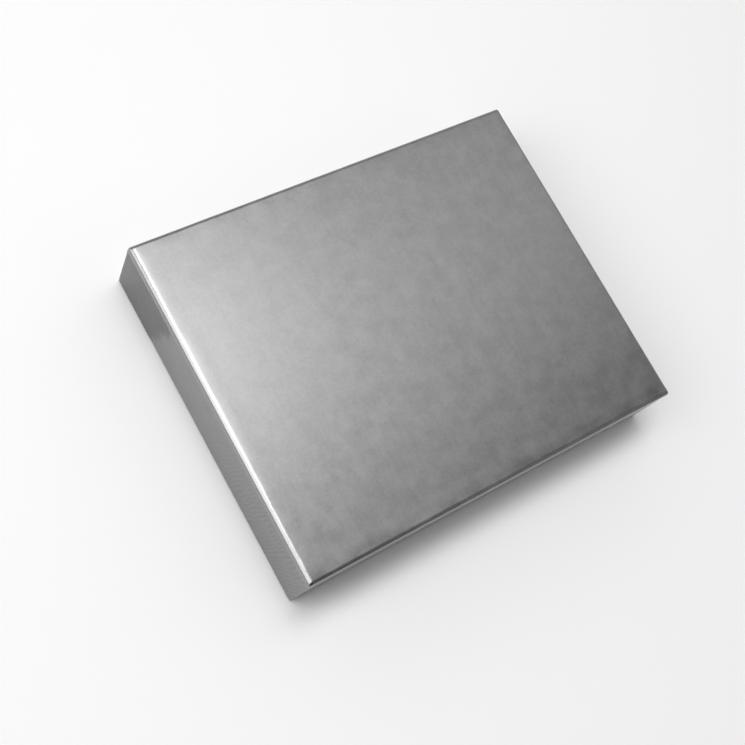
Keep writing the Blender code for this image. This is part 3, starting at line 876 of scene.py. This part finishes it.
def woven_lining():
    made, tree, shader, place = new_material("woven_cotton_lining")
    cut = add(tree, "ShaderNodeUVMap", uv_map="cut").outputs["UV"]
    bands = []
    for direction in ("X", "Y"):
        bands.append(
            add(
                tree, "ShaderNodeTexWave", {"Vector": cut}, bands_direction=direction,
                inputs={"Scale": WAVE_REPEAT / WEAVE_PITCH},
            ).outputs["Fac"]
        )
    yarns = add(tree, "ShaderNodeMath", {0: bands[0], 1: bands[1]}, operation="MAXIMUM").outputs["Value"]
    slubs = add(
        tree, "ShaderNodeTexNoise", {"Vector": place}, inputs={"Scale": 1 / SLUB_SIZE, "Detail": 4.0}
    ).outputs["Fac"]
    # Darker between the yarns as painted shade, and in random slubs.
    yarn_gap_shade_and_slubs = add(tree, "ShaderNodeMath", {0: yarns, 1: slubs}, operation="MULTIPLY").outputs["Value"]
    ramp = add(tree, "ShaderNodeValToRGB", {"Fac": yarn_gap_shade_and_slubs})
    tint = colour_stops(ramp, ["#241A14", "#35271E", "#43342A"], 0.1, 0.6)
    relief = add(tree, "ShaderNodeBump", {"Height": yarns}, inputs={"Distance": 0.06 * MM}).outputs["Normal"]
    tree.links.new(shader.inputs["Base Color"], tint)
    tree.links.new(shader.inputs["Normal"], relief)
    shader.inputs["Roughness"].default_value = 0.85
    shader.inputs["Sheen Weight"].default_value = 0.3
    return made


LINING = woven_lining()

# %% Waxed thread
TWIST_SIZE = 0.3 * MM


def waxed_thread():
    made, tree, shader, place = new_material("waxed_linen_thread")
    twist = add(
        tree, "ShaderNodeTexNoise", {"Vector": place}, inputs={"Scale": 1 / TWIST_SIZE, "Detail": 2.0}
    ).outputs["Fac"]
    tint = colour_stops(add(tree, "ShaderNodeValToRGB", {"Fac": twist}), ["#8A6B45", "#B08F63"])
    relief = add(tree, "ShaderNodeBump", {"Height": twist}, inputs={"Distance": 0.03 * MM}).outputs["Normal"]
    tree.links.new(shader.inputs["Base Color"], tint)
    tree.links.new(shader.inputs["Normal"], relief)
    shader.inputs["Roughness"].default_value = 0.6
    return made


THREAD = waxed_thread()
print("materials:", len(bpy.data.materials))

# %% [markdown]
# ## The wallet's bent sheets
#
# The cover, the lining and the coin flap are each one sheet bent round a fold. A bevelled plate would look
# like plastic, so each is a grid along its bent profile, close together near its edges: the edges round off,
# a groove runs under the stitches, and the middle is a little padded. Solidify gives the sheet its thickness.

# %% A leather's edge
EDGE_REACH = 1.1 * MM
EDGE_DROP = 0.35 * MM
SEAM_INSET = 3.0 * MM
NEAR_EDGE = [0.0, 0.12, 0.3, 0.55, 0.85, 1.2, 1.8, 2.3, 2.65, 3.0, 3.35, 3.7, 4.2, 5.2]
SHEET_STEP = 2.5 * MM


def graded(length, near_start=True, near_end=True):
    """Distances along a length, close together near the ends that are named."""
    near = [distance * MM for distance in NEAR_EDGE]
    low = near if near_start else [0.0]
    high = [length - distance for distance in near] if near_end else [length]
    middle = spaced(low[-1], high[-1], SHEET_STEP)
    return low[:-1] + middle + high[-2::-1]


def edge_shape(distance, groove=0.12 * MM):
    """How far a leather's face sinks at a distance from its edge: the round edge and the seam's groove."""
    near = max(1.0 - distance / EDGE_REACH, 0.0)
    sunk = EDGE_DROP * (1.0 - math.sqrt(1.0 - near * near))
    return -sunk - groove * bell(distance - SEAM_INSET, 0.45 * MM)


# %% A bent sheet
SMOOTH_UP_TO = 60.0  # degrees between faces that still look round


def bent_sheet(
    name, profile, across, half_width, corner, free_start, material, nodes, thickness, relief
):
    """A sheet along a profile of places, outward directions and distances.

    Its far end has round corners, and its start too where that is free. The relief is a rule that gives a
    height at a place and its distance from the edge.
    """
    total = profile[-1][2]
    widths = [distance / half_width - 1 for distance in graded(2 * half_width)]
    bm = bmesh.new()
    edge_layer = bm.verts.layers.float.new("edge")
    cut_layer = bm.loops.layers.uv.new("cut")
    rows, cuts = [], {}
    for place, outward, along in profile:
        end = min(along, total - along) if free_start else total - along
        short = max(corner - end, 0.0)
        half = half_width - corner + math.sqrt(max(corner**2 - short**2, 0.0))
        row = []
        for width in widths:
            side = max(abs(width) * half - (half_width - corner), 0.0)
            if short > 0.0 and side > 0.0:
                inner = corner - math.hypot(short, side)
            else:
                inner = min(end, half_width - abs(width) * half)
            inner = max(inner, 0.0)
            point = place + across * (width * half)
            vert = bm.verts.new(point + outward * relief(point, inner))
            vert[edge_layer] = bell(inner, 0.7 * MM)
            cuts[vert] = (width * half, along)
            row.append(vert)
        rows.append(row)
    for near, far in zip(rows, rows[1:]):
        for i in range(len(widths) - 1):
            face = bm.faces.new((near[i], far[i], far[i + 1], near[i + 1]))
            for loop in face.loops:
                loop[cut_layer].uv = cuts[loop.vert]
    sheet = finish_piece(name, bm, material, "base", nodes, SMOOTH_UP_TO)
    thicken(sheet, thickness)
    return sheet


# %% A folded profile
SPINE_TURN_STEP = 0.12  # radians
SPINE_WALL_STEP = 0.8 * MM


def with_distance(points):
    """Adds to each point of a profile its distance along it."""
    along, made = 0.0, []
    for i, (place, outward) in enumerate(points):
        along += (place - points[i - 1][0]).length if i else 0.0
        made.append((place, outward, along))
    return made


def book_profile(low, high, radius):
    """Down the lower half to the spine, round it and back along the upper half."""
    straight = high.x - low.x - radius
    points = []
    for along in graded(straight, True, False):
        points.append((Vector((high.x - along, 0.0, low.z)), Vector((0.0, 0.0, -1.0))))
    for turn in spaced(0.0, math.pi / 2, SPINE_TURN_STEP)[1:]:
        outward = Vector((-math.sin(turn), 0.0, -math.cos(turn)))
        points.append((Vector((low.x + radius, 0.0, low.z + radius)) + outward * radius, outward))
    for z in spaced(low.z + radius, high.z - radius, SPINE_WALL_STEP)[1:-1]:
        points.append((Vector((low.x, 0.0, z)), Vector((-1.0, 0.0, 0.0))))
    mirrored = [
        (Vector((place.x, 0.0, low.z + high.z - place.z)), Vector((outward.x, 0.0, -outward.z)))
        for place, outward in reversed(points)
        if outward.z < -1e-6 or place.z < low.z + radius + 1e-6
    ]
    return with_distance(points + mirrored)


# %% [markdown]
# ## The cover and its lining
#
# The cover is one leather that runs from one half round the spine to the other. It is padded a little inside
# its seam, and opening and closing left two creases beside the spine. The lining takes the same way inside
# it, so one profile serves both, with a tighter bend for the lining. The lining is cloth cut flat and folded
# in, so its flat size is its width by the length along its bent profile.

# %% The cover
COVER_LOW, COVER_HIGH = (Vector(c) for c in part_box("wallet_cover"))
Y_AXIS = Vector((0.0, 1.0, 0.0))
SPINE_RADIUS = 5.8 * MM
COVER_CORNER = 4.0 * MM
COVER_LEATHER = 1.35 * MM
PADDING = 0.22 * MM
CREASE_DEPTH = 0.14 * MM


def cover_relief(place, inner):
    """Round edges, the seam's groove, padding inside it, and the creases that opening makes by the spine."""
    from_spine = place.x - COVER_LOW.x
    inside_seam = min(max((inner - SEAM_INSET) / (9 * MM), 0.0), 1.0)
    padding = PADDING * inside_seam * min(from_spine / (20 * MM), 1.0)
    creases = bell(from_spine - 9 * MM, 0.9 * MM) + 0.6 * bell(from_spine - 12.5 * MM, 0.8 * MM)
    waves = 0.05 * MM * noise_at(place, 11 * MM, 2.2)
    return edge_shape(inner) + padding + (waves - CREASE_DEPTH * creases) * min(inner / (4 * MM), 1.0)


bent_sheet(
    "wallet_cover_leather", book_profile(COVER_LOW, COVER_HIGH, SPINE_RADIUS), Y_AXIS, COVER_HIGH.y,
    COVER_CORNER, True, LEATHER, ["wallet_cover"], COVER_LEATHER, cover_relief,
)

# %% The lining
LINING_LOW, LINING_HIGH = (Vector(c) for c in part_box("wallet_lining"))
LINING_CLOTH = 0.35 * MM
LINING_DEPTH = 2.1 * MM


def lining_relief(place, inner):
    return 0.05 * MM * noise_at(place, 8 * MM, 4.4) * min(inner / (3 * MM), 1.0)


lining_profile = book_profile(LINING_LOW, LINING_HIGH, SPINE_RADIUS - LINING_DEPTH)
lining = bent_sheet(
    "wallet_woven_lining", lining_profile, Y_AXIS, LINING_HIGH.y, COVER_CORNER,
    True, LINING, ["wallet_lining"], LINING_CLOTH, lining_relief,
)

# %% [markdown]
# ## The coin flap
#
# The flap hangs from the coin panel behind the pouch's mouth, bends round it and lies on the pouch, where the
# press stud holds it. In the closed wallet the coin half is upside down, so the flap ends below the pouch. It
# is one more bent sheet, and only its profile is new.

# %% The coin flap
FLAP_LOW, FLAP_HIGH = (Vector(c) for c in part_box("coin_flap"))
FLAP_BEND = 1.6 * MM
FLAP_TURN_STEP = 0.15  # radians
FLAP_CORNER = 9 * MM
FLAP_GROOVE = 0.08 * MM
THIN_LEATHER = 0.7 * MM
X_AXIS = Vector((1.0, 0.0, 0.0))


def flap_profile():
    """Down from the panel behind the pouch's mouth, round the bend and along under the pouch."""
    middle = (FLAP_LOW.x + FLAP_HIGH.x) / 2
    centre = Vector((middle, FLAP_HIGH.y - FLAP_BEND, FLAP_LOW.z + FLAP_BEND))
    points = [(Vector((middle, FLAP_HIGH.y, z)), Y_AXIS) for z in (FLAP_HIGH.z, centre.z)]
    for turn in spaced(0.0, math.pi / 2, FLAP_TURN_STEP)[1:]:
        outward = Vector((0.0, math.cos(turn), -math.sin(turn)))
        points.append((centre + outward * FLAP_BEND, outward))
    for along in graded(centre.y - FLAP_LOW.y, False, True)[1:]:
        points.append((Vector((middle, centre.y - along, FLAP_LOW.z)), Vector((0.0, 0.0, -1.0))))
    return with_distance(points)


def flap_relief(place, inner):
    waves = 0.03 * MM * noise_at(place, 9 * MM, 1.7) * min(inner / (3 * MM), 1.0)
    return 0.7 * edge_shape(inner, FLAP_GROOVE) + waves


bent_sheet(
    "coin_flap_leather", flap_profile(), -X_AXIS, (FLAP_HIGH.x - FLAP_LOW.x) / 2, FLAP_CORNER,
    False, LEATHER, ["coin_flap"], THIN_LEATHER, flap_relief,
)

# %% [markdown]
# ## Flat leathers
#
# The panels, the card slots and the window's frame are flat cut leathers. Each is a stack of rings: a ring is
# the cut outline drawn in by a distance, so edges, grooves and corners all follow the outline.

# %% The outline of a flat leather
PANEL_CORNER = 2.5 * MM
PANEL_ARC_STEPS = 5


def outline(low, high, inset, least_corner):
    """A cut leather's outline drawn in by inset: a ring of points that always starts at the same place."""
    radius = max(PANEL_CORNER - inset, least_corner)
    xs = (low.x + inset + radius, high.x - inset - radius)
    ys = (low.y + inset + radius, high.y - inset - radius)
    corners = [(1, 0, -90), (1, 1, 0), (0, 1, 90), (0, 0, 180)]
    counts = [int((high.y - low.y) / SHEET_STEP), int((high.x - low.x) / SHEET_STEP)]
    points = []
    for i, (right, far, start) in enumerate(corners):
        centre = Vector((xs[right], ys[far]))
        turns = [math.radians(start + 90 * k / PANEL_ARC_STEPS) for k in range(PANEL_ARC_STEPS + 1)]
        arc = [centre + Vector((math.cos(turn), math.sin(turn))) * radius for turn in turns]
        right, far, _ = corners[(i + 1) % 4]
        leave = Vector((xs[right], ys[far])) + Vector((math.cos(turns[-1]), math.sin(turns[-1]))) * radius
        count = counts[i % 2]
        points += arc + [arc[-1].lerp(leave, k / count) for k in range(1, count)]
    return points


# %% Flat leathers
PANEL_INSETS = [0.0, 0.06, 0.16, 0.32, 0.6, 1.2, 1.6, 1.8, 2.0, 2.2, 2.4, 2.8, 4.0, 6.0, 9.0]
PANEL_STITCH_INSET = 2.0 * MM
PANEL_GROOVE = 0.09 * MM
LEAST_CORNER = 0.3 * MM


def flat_leather(name, node, opening=False):
    """A flat cut leather, or a frame of it when it has an opening."""
    low, high = (Vector(c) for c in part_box(node))
    half = (high.z - low.z) / 2
    middle = low.z + half
    least = PANEL_CORNER if opening else LEAST_CORNER
    reach = min(high.x - low.x, high.y - low.y) / 2
    insets = [inset * MM for inset in PANEL_INSETS]
    if not opening:
        insets += spaced(13 * MM, reach - 0.6 * MM, 4 * MM)
    far = insets[-1]

    def to_edge(inset):
        return min(inset, far - inset) if opening else inset

    def height(inset):
        near = max(1.0 - to_edge(inset) / half, 0.0)
        groove = PANEL_GROOVE * bell(inset - PANEL_STITCH_INSET, 0.3 * MM)
        return half * math.sqrt(max(1.0 - near * near, 0.0)) - groove

    if opening:
        insets = insets[:-1] + [far - inset for inset in reversed(insets[:5])]
    steps = [(inset, -1) for inset in reversed(insets)] + [(inset, 1) for inset in insets[1:]]
    bm = bmesh.new()
    edge_layer = bm.verts.layers.float.new("edge")
    rings = []
    for inset, side in steps:
        ring = []
        for point in outline(low, high, inset, least):
            place = Vector((point.x, point.y, middle))
            place.z += side * height(inset) + 0.04 * MM * noise_at(place, 10 * MM, 6.1)
            vert = bm.verts.new(place)
            vert[edge_layer] = bell(to_edge(inset), 0.5 * MM)
            ring.append(vert)
        rings.append(ring)
    pairs = list(zip(rings, rings[1:]))
    if opening:
        pairs.append((rings[-1], rings[0]))
    for lower, upper in pairs:
        for i in range(len(lower)):
            j = (i + 1) % len(lower)
            bm.faces.new((lower[i], lower[j], upper[j], upper[i]))
    if opening:
        bmesh.ops.remove_doubles(bm, verts=bm.verts, dist=1e-7)
    else:
        bm.faces.new(reversed(rings[0]))
        bm.faces.new(rings[-1])
    finish_piece(name, bm, LEATHER, "base", [node], SMOOTH_UP_TO)


for node in ("card_panel", "card_slot_1", "card_slot_2", "coin_panel"):
    flat_leather(node + "_leather", node)
flat_leather("id_window_frame_leather", "id_window_frame", True)

# %% [markdown]
# ## The coin pouch
#
# The pouch is two leathers joined on three sides and open at the back. It is made as one closed lip: both
# faces meet along the three sides in a half-round edge, and part at the mouth.


# %% The coin pouch
def coin_pouch():
    low, high = (Vector(c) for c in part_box("coin_pouch"))
    half = (high.z - low.z) / 2
    xs = [low.x + along for along in graded(high.x - low.x)]
    ys = [low.y + along for along in graded(high.y - low.y, True, False)]
    bm = bmesh.new()
    edge_layer = bm.verts.layers.float.new("edge")
    faces = []
    for side in (1, -1):
        rows = []
        for y in ys:
            row = []
            for x in xs:
                closed = min(x - low.x, high.x - x, y - low.y)
                near = max(1.0 - closed / half, 0.0)
                height = half * math.sqrt(max(1.0 - near * near, 0.0))
                wave = 0.05 * MM * noise_at((x, y, side * 0.01), 9 * MM, 7.7) * min(closed / (3 * MM), 1.0)
                vert = bm.verts.new((x, y, low.z + half + side * (height - abs(wave))))
                vert[edge_layer] = bell(min(closed, high.y - y), 0.6 * MM)
                row.append(vert)
            rows.append(row)
        faces.append(rows)
    for rows, side in zip(faces, (1, -1)):
        for near, far in zip(rows, rows[1:]):
            for i in range(len(xs) - 1):
                quad = (near[i], near[i + 1], far[i + 1], far[i])
                bm.faces.new(quad if side > 0 else quad[::-1])
    bmesh.ops.remove_doubles(bm, verts=bm.verts, dist=1e-7)
    pouch = finish_piece(
        "coin_pouch_leather", bm, LEATHER, "base", ["coin_pouch"], SMOOTH_UP_TO
    )
    thicken(pouch, THIN_LEATHER)


coin_pouch()

# %% [markdown]
# ## Stitches
#
# A sewn seam is a row of short threads that dive into the leather between their holes. Geometry Nodes set one
# small stitch on every point of a path that is divided by the stitch length, and turn it along the path. The
# same tree serves the cover's two seams and the panels' seams.


# %% The stitch tree
HALF_STITCH = 0.42  # half a stitch's length as a share of the pitch, so that a gap stays between two


def stitch_tree():
    tree = bpy.data.node_groups.new("row_of_stitches", "GeometryNodeTree")
    tree.interface.new_socket("Geometry", in_out="INPUT", socket_type="NodeSocketGeometry")
    pitch = tree.interface.new_socket("Pitch", in_out="INPUT", socket_type="NodeSocketFloat")
    radius = tree.interface.new_socket("Thread radius", in_out="INPUT", socket_type="NodeSocketFloat")
    tree.interface.new_socket("Geometry", in_out="OUTPUT", socket_type="NodeSocketGeometry")
    source = add(tree, "NodeGroupInput").outputs
    path = add(tree, "GeometryNodeMeshToCurve", {"Mesh": source["Geometry"]}).outputs["Curve"]
    stitched = add(
        tree, "GeometryNodeResampleCurve", {"Curve": path, "Length": source["Pitch"]}, mode="LENGTH"
    ).outputs["Curve"]
    tangent = add(tree, "GeometryNodeInputTangent").outputs["Tangent"]
    turned = add(tree, "FunctionNodeAlignRotationToVector", {"Vector": tangent}, axis="X").outputs["Rotation"]
    thread = add(
        tree, "GeometryNodeMeshUVSphere", inputs={"Segments": 8, "Rings": 8, "Radius": 1.0}
    ).outputs["Mesh"]
    long = add(
        tree, "ShaderNodeMath", {0: source["Pitch"]}, operation="MULTIPLY", inputs={1: HALF_STITCH}
    ).outputs["Value"]
    size = add(
        tree, "ShaderNodeCombineXYZ", {"X": long, "Y": source["Thread radius"], "Z": source["Thread radius"]}
    ).outputs["Vector"]
    stitch = add(tree, "GeometryNodeTransform", {"Geometry": thread, "Scale": size}).outputs["Geometry"]
    placed = add(
        tree, "GeometryNodeInstanceOnPoints", {"Points": stitched, "Instance": stitch, "Rotation": turned}
    ).outputs["Instances"]
    real = add(tree, "GeometryNodeRealizeInstances", {"Geometry": placed}).outputs["Geometry"]
    coloured = add(tree, "GeometryNodeSetMaterial", {"Geometry": real})
    coloured.inputs["Material"].default_value = THREAD
    add(tree, "NodeGroupOutput", {"Geometry": coloured.outputs["Geometry"]})
    return tree, pitch.identifier, radius.identifier


STITCHES, PITCH_INPUT, RADIUS_INPUT = stitch_tree()
print("stitch tree:", len(STITCHES.nodes), "nodes")


# %% A row of stitches
def stitch_row(name, points, pitch, radius, nodes=()):
    """Sews along a path of points: the stitches become one plain mesh on the base."""
    path_mesh = bpy.data.meshes.new(name + "_path")
    path_mesh.from_pydata(points, [(i, i + 1) for i in range(len(points) - 1)], [])
    path = bpy.data.objects.new(name + "_path", path_mesh)
    bpy.context.scene.collection.objects.link(path)
    sewing = path.modifiers.new("stitches", "NODES")
    sewing.node_group = STITCHES
    sewing[PITCH_INPUT] = pitch
    sewing[RADIUS_INPUT] = radius
    bpy.context.view_layer.update()
    sewn = bpy.data.meshes.new_from_object(path.evaluated_get(bpy.context.evaluated_depsgraph_get()))
    sewn.name = name
    bpy.data.objects.remove(path)
    sewn.shade_smooth()
    row = bpy.data.objects.new(name, sewn)
    bpy.context.scene.collection.objects.link(row)
    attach(row, "base")
    if nodes:
        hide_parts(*nodes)
    print(name + ":", len(sewn.polygons), "faces")


# %% [markdown]
# ## The wallet's seams
#
# A strong thread sews each half of the cover along its three free edges, and a finer one the panels, the
# slots and the window's frame. Each seam runs out along one side, round the outer end and back, at a fixed
# distance inside the edge, and lies a little in its groove.

# %% The wallet's seams
STITCH_PITCH = 3.2 * MM
THREAD_RADIUS = 0.2 * MM
SEAM_SINK = 0.02 * MM
PANEL_STITCH_PITCH = 2.6 * MM
PANEL_THREAD_RADIUS = 0.14 * MM
PANEL_SEAM_SINK = 0.05 * MM
SEAM_ARC_STEPS = 8


def seam_path(low_x, high_x, half_y, z, corner, centre_y=0.0):
    """Along one side, round the far end and back: the three sides that a seam joins."""
    path = [(low_x, centre_y - half_y, z)]
    for start, sign in ((-90, -1), (0, 1)):
        for k in range(SEAM_ARC_STEPS + 1):
            turn = math.radians(start + 90 * k / SEAM_ARC_STEPS)
            x = high_x - corner + corner * math.cos(turn)
            y = centre_y + sign * (half_y - corner) + corner * math.sin(turn)
            path.append((x, y, z))
    path.append((low_x, centre_y + half_y, z))
    return path


cover_seams = {"wallet_seam_back": COVER_LOW.z + SEAM_SINK, "wallet_seam_front": COVER_HIGH.z - SEAM_SINK}
for node, z in cover_seams.items():
    low, high = (Vector(c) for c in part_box(node))
    half_y = high.y - THREAD_RADIUS
    path = seam_path(low.x + THREAD_RADIUS, high.x - THREAD_RADIUS, half_y, z, COVER_CORNER)
    stitch_row(node + "_stitches", path, STITCH_PITCH, THREAD_RADIUS, [node])
for node in ("card_slot_1", "card_slot_2", "id_window_frame", "card_panel", "coin_panel"):
    low, high = (Vector(c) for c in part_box(node))
    face_down = node == "coin_panel"
    z = low.z + PANEL_SEAM_SINK if face_down else high.z - PANEL_SEAM_SINK
    middle_y = (low.y + high.y) / 2
    half_y = (high.y - low.y) / 2 - PANEL_STITCH_INSET
    path = seam_path(low.x + 6 * MM, high.x - PANEL_STITCH_INSET, half_y, z, 2 * MM, middle_y)
    stitch_row(node + "_stitches", path, PANEL_STITCH_PITCH, PANEL_THREAD_RADIUS)
